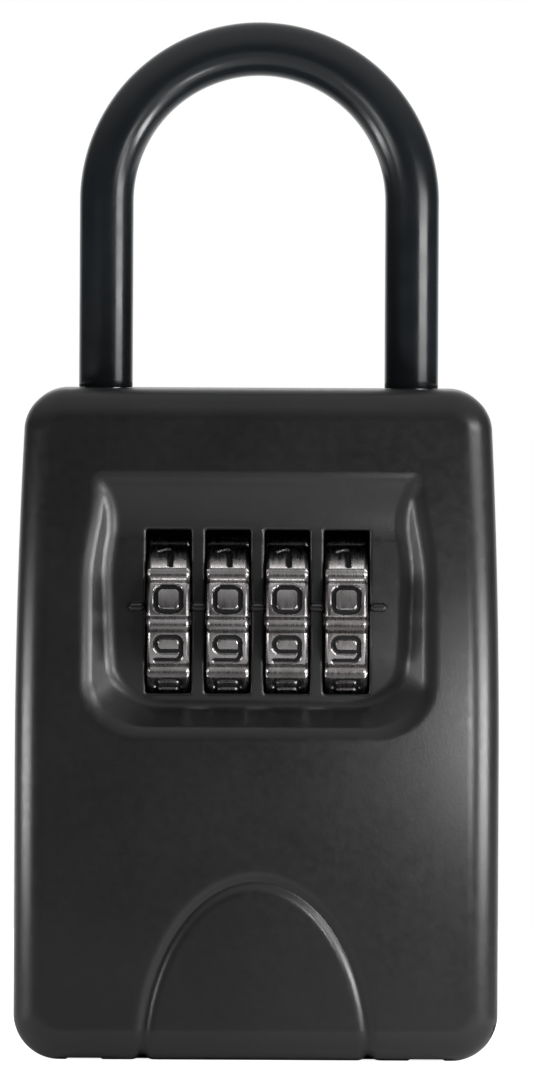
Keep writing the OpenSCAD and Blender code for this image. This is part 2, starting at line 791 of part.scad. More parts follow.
module latch_guide_screws() {
  shoulder_y = bar_y - 0.1;
  head_y = bar_y + plate_t + 0.1;
  color(steel)
    for (x = guide_xs) {
      rod_y(x, guide_z, inner_front_y - 1.4, shoulder_y + eps, screw_r);
      rod_y(x, guide_z, shoulder_y, head_y + eps, shoulder_r);
      difference() {
        rod_y(x, guide_z, head_y, head_y + 1, guide_head_r);
        block([x - 3, head_y + 0.5, guide_z - 0.3], [x + 3, head_y + 2, guide_z + 0.3]);
      }
    }
}

module latch_spring() {
  color(steel)
    translate([latch_window_x - latch_spring_l - 0.05, bar_y + plate_t / 2, hook_z + 0.3])
      coil_spring(latch_spring_l, 4, 1.2, 0.3);
}

// Mechanism behind the wheels

// A strip with one finger for each wheel, bent to lie just off the wheel's rim
module click_spring() {
  foot_z = cover_bottom_z + 1.3;
  strip_t = 0.4;
  tip_y = axis_y + (wheel_r + 0.15) * cos(45);
  tip_z = wheel_z - (wheel_r + 0.15) * sin(45);
  root = [cover_y - strip_t, foot_z + 3];
  rise = atan2(tip_z - root[1], tip_y - root[0]);
  reach = norm([tip_z - root[1], tip_y - root[0]]);
  color(steel) {
    block([wheel_xs[0] - 2, cover_y - strip_t, foot_z], [wheel_xs[3] + 2, cover_y, foot_z + 3.2]);
    for (x = wheel_xs)
      translate([x - 2, root[0], root[1]])
        rotate([rise, 0, 0])
          translate([0, -0.1, 0])
            cube([4, reach + 0.1 - 0.2, strip_t]);
  }
}

module reset_comb() {
  left_x = wheel_xs[0] + comb_arm_x;
  color("#8d9196") {
    block([left_x, comb_y, comb_z], [comb_right_x, comb_y + comb_t, comb_z + comb_h]);
    for (x = wheel_xs) {
      block([x + comb_arm_x, axis_y - 0.6, comb_arm_z],
            [x + comb_arm_x + comb_arm_t, comb_y + eps, comb_arm_z + comb_arm_h]);
      block([x + comb_arm_x, axis_y - 0.6, comb_arm_z],
            [x - gate_face - 0.05, axis_y + 2, comb_arm_z + comb_arm_h]);
    }
    block([-tab_w / 2 - 2, comb_y + comb_t - eps, comb_z + 1],
          [tab_w / 2 - 2, cover_back_y + 1.6, comb_z + 1 + tab_h]);
  }
}

module reset_spring() {
  color(steel)
    translate([comb_right_x + reset_travel + 0.15, comb_y + comb_t / 2, comb_z + comb_h / 2])
      coil_spring(reset_spring_l, 4, 0.45, 0.2);
}

module mechanism_cover() {
  rail_y = comb_y + 0.2;
  rail_x = [wheel_xs[0] + comb_arm_x - comb_arm_t, comb_right_x + reset_travel + reset_spring_l + 1.4];
  stop_x = comb_right_x + reset_travel + reset_spring_l + 0.2;
  color("#3a3d40")
    difference() {
      union() {
        block([-cover_half_w, cover_y, cover_bottom_z], [cover_half_w, cover_back_y, cover_top_z]);
        for (side = [-1, 1])
          block([side * post_high[0] - post_r, cover_y, cover_top_z - 1],
                [side * post_high[0] + post_r, cover_back_y, post_high[1] + post_r]);
        block([rail_x[0], rail_y, comb_z - slide_gap - 1], [rail_x[1], cover_y + eps, comb_z - slide_gap]);
        block([rail_x[0], rail_y, comb_z + comb_h + slide_gap],
              [rail_x[1], cover_y + eps, comb_z + comb_h + slide_gap + 1]);
        block([stop_x, rail_y, comb_z - slide_gap - eps],
              [stop_x + 1.2, cover_y + eps, comb_z + comb_h + slide_gap + eps]);
        for (x = [left_wall_x - bearing_t + 0.4, right_wall_x + 0.4])
          block([x, axis_y + spindle_r + running_gap, wheel_z - spindle_r + 0.1],
                [x + bearing_t - 0.8, cover_y + eps, wheel_z + spindle_r - 1.3]);
      }
      block([-tab_w / 2 - 2 - slide_gap, cover_y - 0.5, comb_z + 1 - slide_gap],
            [tab_w / 2 - 2 + reset_travel + slide_gap, cover_back_y + 1, comb_z + 1 + tab_h + slide_gap]);
      for (side = [-1, 1]) {
        rod_y(side * post_low[0], post_low[1], cover_y - 1, cover_back_y + 1, screw_r + 0.1);
        rod_y(side * post_high[0], post_high[1], cover_y - 1, cover_back_y + 1, screw_r + 0.1);
      }
    }
}

module mechanism_screws() {
  color(steel)
    for (side = [-1, 1]) {
      screw_back(side * post_low[0], post_low[1], cover_back_y, cover_t + cover_screw_l);
      screw_back(side * post_high[0], post_high[1], cover_back_y, cover_t + cover_screw_l);
    }
}

// Strike plate at the top of the housing

module strike_plate() {
  color(steel)
    difference() {
      union() {
        block([strike_x[0], strike_y, strike_z], [strike_x[1], strike_y + plate_t, inner_top_z]);
        block([strike_x[0], strike_y, inner_top_z - plate_t], [strike_x[1], block_y[0] - 0.1, inner_top_z]);
      }
      for (x = hook_xs)
        block([x - slide_gap, strike_y - 1, hook_z - 0.8],
              [x + hook_w + latch_travel + slide_gap, strike_y + plate_t + 1, hook_z + hook_h + 0.8]);
      for (x = strike_screw_xs)
        rod_z(x, strike_screw_y, inner_top_z - 3, inner_top_z + 1, screw_r + 0.1);
    }
}

module strike_screws() {
  color(steel)
    for (x = strike_screw_xs)
      screw_up(x, strike_screw_y, inner_top_z - plate_t, plate_t + strike_thread_l);
}

// Shackle and its latch

// A bent bar: two legs and a half ring
module bow(r, foot_z) {
  for (side = [-1, 1])
    rod_z(side * leg_x, shackle_y, foot_z, arch_z, r);
  translate([0, shackle_y, arch_z])
    rotate([90, 0, 0])
      rotate_extrude(angle = 180)
        translate([leg_x, 0])
          circle(r);
}

module shackle() {
  leg_r = bar_d / 2;
  color(steel)
    difference() {
      bow(leg_r, leg_end_z);
      for (side = [-1, 1])
        block([side * leg_x - leg_r - 1, shackle_y - leg_r - 1, latch_plate_z - 0.3],
              [side * leg_x - leg_r + notch_depth, shackle_y + leg_r + 1,
               latch_plate_z + latch_plate_t + 0.3]);
    }
}

module shackle_sleeve() {
  color(vinyl)
    difference() {
      bow(shackle_d / 2, body_h + 0.3);
      bow(bar_d / 2 + touch_gap, body_h - 1);
    }
}

module shackle_latch() {
  low = latch_plate_z;
  high = latch_plate_z + latch_plate_t;
  end_x = leg_x + 4.1;
  color(steel)
    difference() {
      union() {
        block([-end_x, shackle_y - latch_half_d, low], [end_x, shackle_y + latch_half_d, high]);
        block([-latch_tab_half_w, shackle_y - latch_half_d, retainer_z - 3],
              [latch_tab_half_w, shackle_y - latch_half_d + plate_t, low + eps]);
      }
      for (side = [-1, 1])
        block([side * leg_x - leg_room, shackle_y - leg_room, low - 1],
              [side * leg_x + leg_room, shackle_y + leg_room, high + 1]);
      block([-14.2, shackle_y + 1.3, low - 1], [-5.2, shackle_y + 3.7, high + 1]);
    }
}

module shackle_latch_spring() {
  color(steel)
    translate([leg_spring_x, shackle_y + 2.5, latch_plate_z + latch_plate_t / 2])
      coil_spring(leg_spring_l, 4, leg_spring_r, 0.2);
}

module retainer_plate() {
  land_z = block_z - latch_room;
  color(steel)
    difference() {
      block([-block_half_w + 0.4, block_y[0], retainer_z], [block_half_w - 0.4, block_y[1], land_z]);
      for (side = [-1, 1])
        rod_z(side * leg_x, shackle_y, retainer_z - 1, land_z + 1, leg_room);
      block([-latch_tab_half_w - 0.4, block_y[0] - 1, retainer_z - 1],
            [latch_tab_half_w + 0.4 + shackle_latch_travel, shackle_y - latch_half_d + 1.6, land_z + 1]);
      for (x = retainer_screw_xs)
        rod_z(x, retainer_screw_y, retainer_z - 1, land_z + 1, screw_r + 0.1);
    }
}

module retainer_screws() {
  color(steel)
    for (x = retainer_screw_xs)
      screw_up(x, retainer_screw_y, retainer_z, retainer_t + retainer_thread_l);
}

rear_housing();
front_door();
hinge_pin();
number_wheel_1();
number_wheel_2();
number_wheel_3();
number_wheel_4();
code_sleeve_1();
code_sleeve_2();
code_sleeve_3();
code_sleeve_4();
locking_spindle();
latch_plate();
latch_guide_screws();
latch_spring();
click_spring();
reset_comb();
reset_spring();
mechanism_cover();
mechanism_screws();
strike_plate();
strike_screws();
shackle();
shackle_sleeve();
shackle_latch();
shackle_latch_spring();
retainer_plate();
retainer_screws();
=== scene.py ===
"""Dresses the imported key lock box: smooth castings, engraved wheels, coated shackle, studio."""

import math

import bpy
import numpy as np
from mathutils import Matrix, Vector


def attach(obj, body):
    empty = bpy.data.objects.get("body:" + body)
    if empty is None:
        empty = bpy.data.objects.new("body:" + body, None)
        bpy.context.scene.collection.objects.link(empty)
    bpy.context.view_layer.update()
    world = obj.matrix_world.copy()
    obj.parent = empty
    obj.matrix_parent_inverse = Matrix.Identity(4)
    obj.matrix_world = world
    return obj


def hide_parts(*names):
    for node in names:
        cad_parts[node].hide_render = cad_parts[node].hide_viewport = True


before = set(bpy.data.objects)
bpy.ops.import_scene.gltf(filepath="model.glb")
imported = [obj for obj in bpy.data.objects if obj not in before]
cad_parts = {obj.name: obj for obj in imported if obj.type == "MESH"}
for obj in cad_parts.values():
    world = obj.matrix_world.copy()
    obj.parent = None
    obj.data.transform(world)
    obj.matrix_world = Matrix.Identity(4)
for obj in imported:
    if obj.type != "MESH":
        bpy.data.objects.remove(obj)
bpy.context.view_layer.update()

# Sizes in millimetres, as in the part's source
MM = 0.001
BODY_H = 90.2
HALF_W = 32.55
SIDE_TAPER = 1.4
TAPER_START = 40.3
TOP_CORNER_R = 5.4
BOTTOM_CORNER_R = 6.2
FRONT_Y = -18.4
SEAM_Y = -10.0
SEAM_GAP = 0.25
BACK_Y = 19.0
FRONT_EDGE_R = 4.2
BACK_EDGE_R = 3.0
WALL = 3.0
AXIS_Y = -7.95
WHEEL_Z = 59.2
WHEEL_R = 11.05
WHEEL_HALF = 2.85
WHEEL_BEVEL = 0.45
WHEEL_PITCH = 7.97
WHEEL_XS = [(i - 1.5) * WHEEL_PITCH for i in range(4)]
PIVOT_Y = FRONT_Y + FRONT_EDGE_R
PIVOT_Z = FRONT_EDGE_R
RECESS_TOP = 78.1
RECESS_BOTTOM = 44.2
FLOOR_TOP = 71.3
FLOOR_BOTTOM = 47.6
PANEL_T = 1.6
WINDOW_HALF = 3.035
RIM_GAP = 0.25
INDEX_Z = 60.9
ARCH_HALF_W = 15.2
ARCH_H = 24.0
LIP_REACH = 1.6
LIP_ROOT = 0.9
LIP_FOOT_Z = 14
EAR_X = 23
EAR_R = 3
EAR_GAP = 0.25
COVER_Y = 5.4
LEG_X = 20.635
SHACKLE_Y = 4.0
ARCH_Z = 115.4
SLEEVE_R = 3.625
BAR_R = 3.0
BORE_GAP = 0.05

# Soft forms that only this scene has, in millimetres
RECESS_HALF_TOP = 21.4
RECESS_SPREAD = 1.6
SPREAD_TOP = 77
SPREAD_FOOT = 64
SIDE_DRAFT = 0.95
RECESS_CORNER_R = 5.2
RECESS_TOP_R = 0.4
RECESS_EDGE_R = 1.0
FLOOR_FILLET = 0.9
COVE_RISE = 0.2
COVE_H = 8.5
COVE_DEPTH = 2.7
FALL_TOP = 69.8
FALL = 0.035
FOOT_TOP = 57
FOOT_H = 9.4
FOOT_DEPTH = 1.1
LEDGE_DEPTH = 4.5
GROOVE_DEPTH = 0.55
GROOVE_REACH = 0.75
MARK_OUTER_X = 16.3
MARK_HALF_L = 0.6
MARK_R = 0.58
MARK_PROUD = 0.3
SEAM_EDGE_R = 0.35
CAVITY_R = 1.2
INNER_R = 0.3
WINDOW_EDGE_R = 0.4


# Rounded joins and cuts of distance fields


def hyp(a, b):
    return np.sqrt(a * a + b * b)


def cut(a, b, r):
    """Intersection of two fields with a rounded edge."""
    return np.minimum(np.maximum(a, b), -r) + hyp(np.maximum(a + r, 0), np.maximum(b + r, 0))


def join(a, b, r):
    """Union of two fields with a filleted corner."""
    return np.maximum(np.minimum(a, b), r) - hyp(np.maximum(r - a, 0), np.maximum(r - b, 0))


def carve(a, b, r):
    """Field a less field b with a rounded edge."""
    return cut(a, -b, r)


def between(v, low, high):
    return np.maximum(low - v, v - high)


def block(x, y, z, low, high, r=0.3):
    a = cut(between(x, low[0], high[0]), between(y, low[1], high[1]), r)
    return cut(a, between(z, low[2], high[2]), r)


def ramp(v, low, high):
    t = np.clip((v - low) / (high - low), 0, 1)
    return t * t * (3 - 2 * t)


def side_half(z):
    return HALF_W - SIDE_TAPER * (np.maximum(0, z - TAPER_START) / (BODY_H - TAPER_START)) ** 2


def outline(x, z):
    """The body's front outline."""
    d = cut(np.abs(x) - side_half(z), z - BODY_H, TOP_CORNER_R)
    return cut(d, -z, BOTTOM_CORNER_R)


def recess_depth(z):
    """Depth of the recess floor behind the face: a cove above, then a slow fall to the foot."""
    u = np.clip((RECESS_TOP + COVE_RISE - z) / COVE_H, 0, 1)
    w = np.clip((FOOT_TOP - z) / FOOT_H, 0, 1)
    return COVE_DEPTH * u * (2 - u) + FALL * np.maximum(0, FALL_TOP - z) + FOOT_DEPTH * w * w


def floor_y(z):
    return FRONT_Y + recess_depth(z)


def plane(y, z, p, q):
    """Distance above the line from p to q in the YZ plane."""
    dy = q[0] - p[0]
    dz = q[1] - p[1]
    n = math.hypot(dy, dz)
    return ((y - p[0]) * -dz + (z - p[1]) * dy) / n


def recess(x, y, z):
    """The hollow in the face round the wheels."""
    lower = -plane(y, z, (FRONT_Y, RECESS_BOTTOM), (FRONT_Y + LEDGE_DEPTH, FLOOR_BOTTOM))
    h = 0.1
    slope = (recess_depth(z - h) - recess_depth(z + h)) / (2 * h)
    back = (y - floor_y(z)) / np.sqrt(1 + slope * slope)
    face_half = RECESS_HALF_TOP + RECESS_SPREAD * ramp(-z, -SPREAD_TOP, -SPREAD_FOOT)
    side = (np.abs(x) - face_half + SIDE_DRAFT * (y - FRONT_Y)) / math.hypot(1, SIDE_DRAFT)
    d = cut(side, lower, RECESS_CORNER_R)
    d = cut(d, z - RECESS_TOP - RECESS_TOP_R, RECESS_TOP_R)
    return cut(d, back, FLOOR_FILLET)


def near_wheel(x):
    """Distance along X from the nearest wheel's middle."""
    i = np.clip(np.round(x / WHEEL_PITCH + 1.5), 0, 3)
    return np.abs(x - (i - 1.5) * WHEEL_PITCH)


def hinge_radius(y, z):
    return hyp(y - PIVOT_Y, z - PIVOT_Z)


def arch_groove(x, z):
    """Distance from the arched line above the base, about."""
    k = np.sqrt((x / ARCH_HALF_W) ** 2 + (z / ARCH_H) ** 2) + 1e-6
    slope = np.sqrt((x / ARCH_HALF_W**2) ** 2 + (z / ARCH_H**2) ** 2) / k + 1e-6
    return np.abs(k - 1) / slope


def index_marks(x, y, z):
    """Five short rounded bars beside and between the wheels."""
    d = None
    mark_y = floor_y(INDEX_Z) - MARK_PROUD
    for mark_x in (-MARK_OUTER_X, -WHEEL_PITCH, 0, WHEEL_PITCH, MARK_OUTER_X):
        along = np.maximum(np.abs(x - mark_x) - MARK_HALF_L, 0)
        mark = np.sqrt(along * along + (y - mark_y) ** 2 + (z - INDEX_Z) ** 2) - MARK_R
        d = mark if d is None else np.minimum(d, mark)
    return d


def door_inside(x, y, z):
    """Posts, bosses, ribs and bearing walls behind the door's face."""
    ax = np.abs(x)
    root_y = -16
    wall_y = -14.25
    post_r = 2.2
    screw_boss_z = 79
    screw_boss_r = 2.8
    rib_half = 0.95
    rib_r = 0.2
    spindle_room = 1.58
    wall_t = 2.5
    d = np.maximum(hyp(ax - 21, z - 46) - post_r, between(y, root_y, COVER_Y))
    d = np.minimum(d, np.maximum(hyp(ax - 17.505, z - 72.8) - post_r, between(y, -15.5, COVER_Y)))
    for boss_x in (-3, 9.5):
        boss = hyp(x - boss_x, z - screw_boss_z) - screw_boss_r
        d = np.minimum(d, np.maximum(boss, between(y, root_y, -13.3)))
    rib_x = np.minimum(ax, np.abs(ax - WHEEL_PITCH)) - rib_half
    d = np.minimum(d, cut(rib_x, cut(between(y, wall_y, -9.75), between(z, 50.6, 69.3), rib_r), rib_r))
    notch = np.maximum(between(z, WHEEL_Z - spindle_room, WHEEL_Z + spindle_room), AXIS_Y - y)
    notch = np.minimum(notch, hyp(y - AXIS_Y, z - WHEEL_Z) - spindle_room)
    for low_x in (-19.805, 15.205):
        wall = block(x, y, z, (low_x, wall_y, WHEEL_Z - 5), (low_x + wall_t, AXIS_Y + 4, WHEEL_Z + 5))
        d = np.minimum(d, np.maximum(wall, -notch))
    spring_post = block(x, y, z, (-19.6, root_y, 80.8), (-18.1, -11.5, 83.8), 0.2)
    return np.minimum(d, spring_post)


def ear_space(x, y, z, room):
    """The hinge ears' zone, grown by a room."""
    return np.abs(np.abs(x) - EAR_X) - 2 - room


def door_field(x, y, z):
    rim = outline(x, z)
    shell = cut(rim, FRONT_Y - y, FRONT_EDGE_R)
    shell = cut(shell, y - SEAM_Y, SEAM_EDGE_R)
    radius = hinge_radius(y, z)
    barrel = radius - FRONT_EDGE_R
    below = np.maximum(np.maximum(PIVOT_Y - y, z - PIVOT_Z), -barrel)
    shell = np.maximum(shell, -below)
    front = ramp(-y, 8, 12.5)
    shell = shell + GROOVE_DEPTH * front * np.exp(-((arch_groove(x, z) / GROOVE_REACH) ** 2))
    cavity = cut(rim + WALL, FRONT_Y + WALL - y, CAVITY_R)
    cavity = carve(cavity, barrel, 0.8)
    hollow = recess(x, y, z)
    panel = np.maximum(hollow - PANEL_T, FRONT_Y + 1 - y)
    d = carve(shell, cavity, INNER_R)
    d = join(d, panel, 0.5)
    d = join(d, door_inside(x, y, z), INNER_R)
    d = carve(d, hollow, RECESS_EDGE_R)
    wheel_x = near_wheel(x)
    window = cut(wheel_x - WINDOW_HALF, between(z, FLOOR_BOTTOM + 1.7, FLOOR_TOP), INNER_R)
    window = np.maximum(window, y - AXIS_Y - 4)
    d = carve(d, window, WINDOW_EDGE_R)
    rim_room = hyp(y - AXIS_Y, z - WHEEL_Z) - WHEEL_R - RIM_GAP
    d = carve(d, np.maximum(rim_room, wheel_x - WINDOW_HALF), 0.15)
    neck_lean = (0.961, 0.276)
    neck_reach = 7
    neck_room = -((y - PIVOT_Y) * neck_lean[0] - (z - PIVOT_Z) * neck_lean[1])
    room = np.minimum(np.maximum(neck_room, radius - neck_reach), radius - (EAR_R + EAR_GAP))
    d = np.maximum(d, -np.maximum(room, ear_space(x, y, z, EAR_GAP)))
    pin_room_r = 1.32
    pin_room_x = -27.2
    d = np.maximum(d, -np.maximum(radius - pin_room_r, pin_room_x - x))
    return np.minimum(d, index_marks(x, y, z))


def housing_field(x, y, z):
    rim = outline(x, z)
    seam = SEAM_Y + SEAM_GAP
    shell = cut(rim, y - BACK_Y, BACK_EDGE_R)
    shell = cut(shell, seam - y, SEAM_EDGE_R)
    cavity = cut(rim + WALL, y - BACK_Y + WALL, CAVITY_R)
    d = carve(shell, cavity, INNER_R)
    lip_in = -4.5
    lip = np.maximum(between(rim, lip_in, -3.3), between(y, seam - LIP_REACH, seam + LIP_ROOT))
    root = np.maximum(between(rim, lip_in, -2.9), between(y, seam, seam + LIP_ROOT))
    lip = cut(np.minimum(lip, root), LIP_FOOT_Z - z, INNER_R)
    d = np.minimum(d, lip)
    radius = hinge_radius(y, z)
    neck = np.maximum(between(y, PIVOT_Y, seam + 1), between(z, PIVOT_Z - 0.5, PIVOT_Z + EAR_R))
    root = np.maximum(between(y, seam, seam + 5), between(z, 1, PIVOT_Z + EAR_R))
    ear = np.minimum(np.minimum(radius - EAR_R, neck), root)
    ear = cut(ear, ear_space(x, y, z, 0), 0.25)
    d = join(d, ear, INNER_R)
    guide_half = 26.4
    guide_front = -2.6
    guide_back = 12
    pad_z = 79.3
    pad_top = 82
    legs = block(x, y, z, (-guide_half, guide_front, 81.2), (guide_half, guide_back, 88))
    for low, high in (
        ((8.4, guide_front, pad_z), (guide_half, -0.8, pad_top)),
        ((-guide_half, guide_front, pad_z), (-6.4, -0.8, pad_top)),
        ((-guide_half, 8.8, pad_z), (guide_half, guide_back, pad_top)),
        ((-12, 5.6, 79.4), (-10.8, 7.4, pad_top)),
    ):
        legs = np.minimum(legs, block(x, y, z, low, high, 0.2))
    d = join(d, legs, 0.4)
    bore = np.maximum(hyp(np.abs(x) - LEG_X, y - SHACKLE_Y) - BAR_R - BORE_GAP, 78 - z)
    d = carve(d, bore, 0.2)
    pin_room_r = 1.27
    pin = np.maximum(radius - pin_room_r, np.abs(x) - 26)
    return np.maximum(d, -pin)


# Meshes from distance fields


def grid_axis(*parts):
    """Points along an axis from (start, end, step) parts that follow each other."""
    out = []
    for start, end, step in parts:
        n = max(1, round((end - start) / step))
        out.extend(start + (end - start) * i / n for i in range(n))
    out.append(parts[-1][1])
    return np.array(out)


def gradient(field, p, h=0.02):
    g = np.empty_like(p)
    for axis in range(3):
        step = np.zeros(3)
        step[axis] = h
        high = p + step
        low = p - step
        g[:, axis] = (field(*high.T) - field(*low.T)) / (2 * h)
    return g


def surface_net(field, xs, ys, zs):
    """Points, normals and quads of a field's zero surface, one point in each crossed cell."""
    v = field(xs[:, None, None], ys[None, :, None], zs[None, None, :])
    inside = v < 0
    nx, ny, nz = inside.shape
    count = np.zeros((nx - 1, ny - 1, nz - 1), dtype=np.int8)
    corners = [(a, b, c) for a in (0, 1) for b in (0, 1) for c in (0, 1)]
    for a, b, c in corners:
        count += inside[a : nx - 1 + a, b : ny - 1 + b, c : nz - 1 + c]
    active = (count > 0) & (count < 8)
    i, j, k = np.nonzero(active)
    index = np.full(active.shape, -1, dtype=np.int64)
    index[i, j, k] = np.arange(len(i))
    total = np.zeros((len(i), 3))
    hits = np.zeros(len(i))
    for a, b, c in corners:
        for axis in range(3):
            step = [0, 0, 0]
            step[axis] = 1
            if (a, b, c)[axis]:
                continue
            a2, b2, c2 = a + step[0], b + step[1], c + step[2]
            v0 = v[i + a, j + b, k + c]
            v1 = v[i + a2, j + b2, k + c2]
            crossed = (v0 < 0) != (v1 < 0)
            t = np.where(crossed, v0 / np.where(v0 == v1, 1, v0 - v1), 0)
            p0 = np.stack([xs[i + a], ys[j + b], zs[k + c]], axis=1)
            p1 = np.stack([xs[i + a2], ys[j + b2], zs[k + c2]], axis=1)
            total += np.where(crossed[:, None], p0 + (p1 - p0) * t[:, None], 0)
            hits += crossed
    points = total / hits[:, None]
    for _ in range(3):
        g = gradient(field, points)
        size = np.maximum((g * g).sum(axis=1), 0.25)
        move = -g * (field(*points.T) / size)[:, None]
        length = np.maximum(np.linalg.norm(move, axis=1), 1e-9)
        points += move * np.minimum(1, 0.12 / length)[:, None]
    g = gradient(field, points, 0.05)
    normals = g / np.maximum(np.linalg.norm(g, axis=1), 1e-6)[:, None]
    quads = []
    for axis in range(3):
        step = [0, 0, 0]
        step[axis] = 1
        low = inside[: nx - step[0], : ny - step[1], : nz - step[2]]
        high = inside[step[0] :, step[1] :, step[2] :]
        a, b, c = np.nonzero(low != high)
        u, w = [(1, 2), (2, 0), (0, 1)][axis]
        cell = np.stack([a, b, c], axis=1)
        keep = (cell[:, u] > 0) & (cell[:, w] > 0)
        keep &= (cell[:, u] < (nx, ny, nz)[u] - 1) & (cell[:, w] < (nx, ny, nz)[w] - 1)
        cell = cell[keep]
        leaving = low[a, b, c][keep]
        ring = []
        for du, dw in ((1, 1), (0, 1), (0, 0), (1, 0)):
            other = cell.copy()
            other[:, u] -= du
            other[:, w] -= dw
            ring.append(index[other[:, 0], other[:, 1], other[:, 2]])
        quad = np.stack(ring, axis=1)
        quads.append(np.where(leaving[:, None], quad, quad[:, ::-1]))
    return points, normals, np.concatenate(quads)


def make_mesh(name, points, quads, normals=None):
    """A smooth mesh object from millimetre points."""
    mesh = bpy.data.meshes.new(name)
    mesh.vertices.add(len(points))
    mesh.vertices.foreach_set("co", (np.asarray(points) * MM).ravel())
    quads = np.asarray(quads, dtype=np.int32)
    mesh.loops.add(quads.size)
    mesh.loops.foreach_set("vertex_index", quads.ravel())
    mesh.polygons.add(len(quads))
    mesh.polygons.foreach_set("loop_start", np.arange(0, quads.size, quads.shape[1], dtype=np.int32))
    mesh.update(calc_edges=True)
    mesh.validate()
    mesh.polygons.foreach_set("use_smooth", np.ones(len(mesh.polygons), dtype=bool))
    if normals is not None:
        mesh.normals_split_custom_set_from_vertices([tuple(n) for n in normals])
    obj = bpy.data.objects.new(name, mesh)
    bpy.context.collection.objects.link(obj)
    return obj


def cast_piece(name, field, xs, ys, zs):
    points, normals, quads = surface_net(field, xs, ys, zs)
    return make_mesh(name, points, quads, normals)


def wrap_quads(rows, cols):
    """Quads of a grid of points that closes on itself both ways."""
    row, col = np.meshgrid(np.arange(rows), np.arange(cols), indexing="ij")
    row2 = (row + 1) % rows
    col2 = (col + 1) % cols
    corners = [row * cols + col, row2 * cols + col, row2 * cols + col2, row * cols + col2]
    return np.stack(corners, axis=-1).reshape(-1, 4)[:, ::-1]


# Materials


def new_material(name, color, metallic, roughness):
    mat = bpy.data.materials.new(name)
    mat.use_nodes = True
    shader = mat.node_tree.nodes["Principled BSDF"]
    shader.inputs["Base Color"].default_value = (*color, 1)
    shader.inputs["Metallic"].default_value = metallic
    shader.inputs["Roughness"].default_value = roughness
    return mat, mat.node_tree, shader


def noise_node(tree, scale, detail=3.0, stretch=(1, 1, 1)):
    """Noise over the object's own coordinates in metres."""
    nodes = tree.nodes
    coord = nodes.new("ShaderNodeTexCoord")
    mapping = nodes.new("ShaderNodeMapping")
    mapping.inputs["Scale"].default_value = stretch
    noise = nodes.new("ShaderNodeTexNoise")
    noise.inputs["Scale"].default_value = scale
    noise.inputs["Detail"].default_value = detail
    tree.links.new(coord.outputs["Object"], mapping.inputs["Vector"])
    tree.links.new(mapping.outputs["Vector"], noise.inputs["Vector"])
    return noise


def vary(tree, noise, socket, low, high):
    """Feeds a socket with a value between low and high that follows a noise."""
    spread = tree.nodes.new("ShaderNodeMapRange")
    spread.inputs["From Min"].default_value = 0.3
    spread.inputs["From Max"].default_value = 0.7
    spread.inputs["To Min"].default_value = low
    spread.inputs["To Max"].default_value = high
    tree.links.new(noise.outputs["Fac"], spread.inputs["Value"])
    tree.links.new(spread.outputs["Result"], socket)


def vary_color(tree, noise, socket, low, high):
    ramp_node = tree.nodes.new("ShaderNodeValToRGB")
    ramp_node.color_ramp.elements[0].position = 0.35
    ramp_node.color_ramp.elements[0].color = (*low, 1)
    ramp_node.color_ramp.elements[1].position = 0.65
    ramp_node.color_ramp.elements[1].color = (*high, 1)
    tree.links.new(noise.outputs["Fac"], ramp_node.inputs["Fac"])
    tree.links.new(ramp_node.outputs["Color"], socket)


def add_bump(tree, shader, noise, strength, distance):
    bump = tree.nodes.new("ShaderNodeBump")
    bump.inputs["Strength"].default_value = strength
    bump.inputs["Distance"].default_value = distance
    tree.links.new(noise.outputs["Fac"], bump.inputs["Height"])
    tree.links.new(bump.outputs["Normal"], shader.inputs["Normal"])


def coat_material():
    """Black powder coat with a fine orange peel."""
    mat, tree, shader = new_material("cast_body_black", (0.018, 0.018, 0.019), 0, 0.4)
    fine = noise_node(tree, 2600, 4)
    cloud = noise_node(tree, 60, 3)
    vary_color(tree, cloud, shader.inputs["Base Color"], (0.008, 0.008, 0.0088), (0.0115, 0.0115, 0.0125))
    vary(tree, noise_node(tree, 900, 3), shader.inputs["Roughness"], 0.28, 0.35)
    add_bump(tree, shader, fine, 0.22, 0.00005)
    return mat


def vinyl_material():
    """Glossy black vinyl dip with slow waves in its surface."""
    mat, tree, shader = new_material("vinyl_black", (0.010, 0.012, 0.014), 0, 0.22)
    vary(tree, noise_node(tree, 220, 2), shader.inputs["Roughness"], 0.19, 0.27)
    cloud = noise_node(tree, 40, 2)
    vary_color(tree, cloud, shader.inputs["Base Color"], (0.008, 0.010, 0.012), (0.012, 0.015, 0.018))
    add_bump(tree, shader, noise_node(tree, 160, 2), 0.25, 0.0001)
    return mat


def metal_material(name, low, high, rough, bump, stretch=(1, 1, 1), scale=700):
    """A plated or turned metal: fine lines in roughness, colour and bump."""
    mat, tree, shader = new_material(name, high, 1, rough[0])
    lines = noise_node(tree, scale, 4, stretch)
    vary(tree, lines, shader.inputs["Roughness"], rough[0], rough[1])
    vary_color(tree, noise_node(tree, scale / 4, 3, stretch), shader.inputs["Base Color"], low, high)
    add_bump(tree, shader, lines, bump, 0.00003)
    return mat


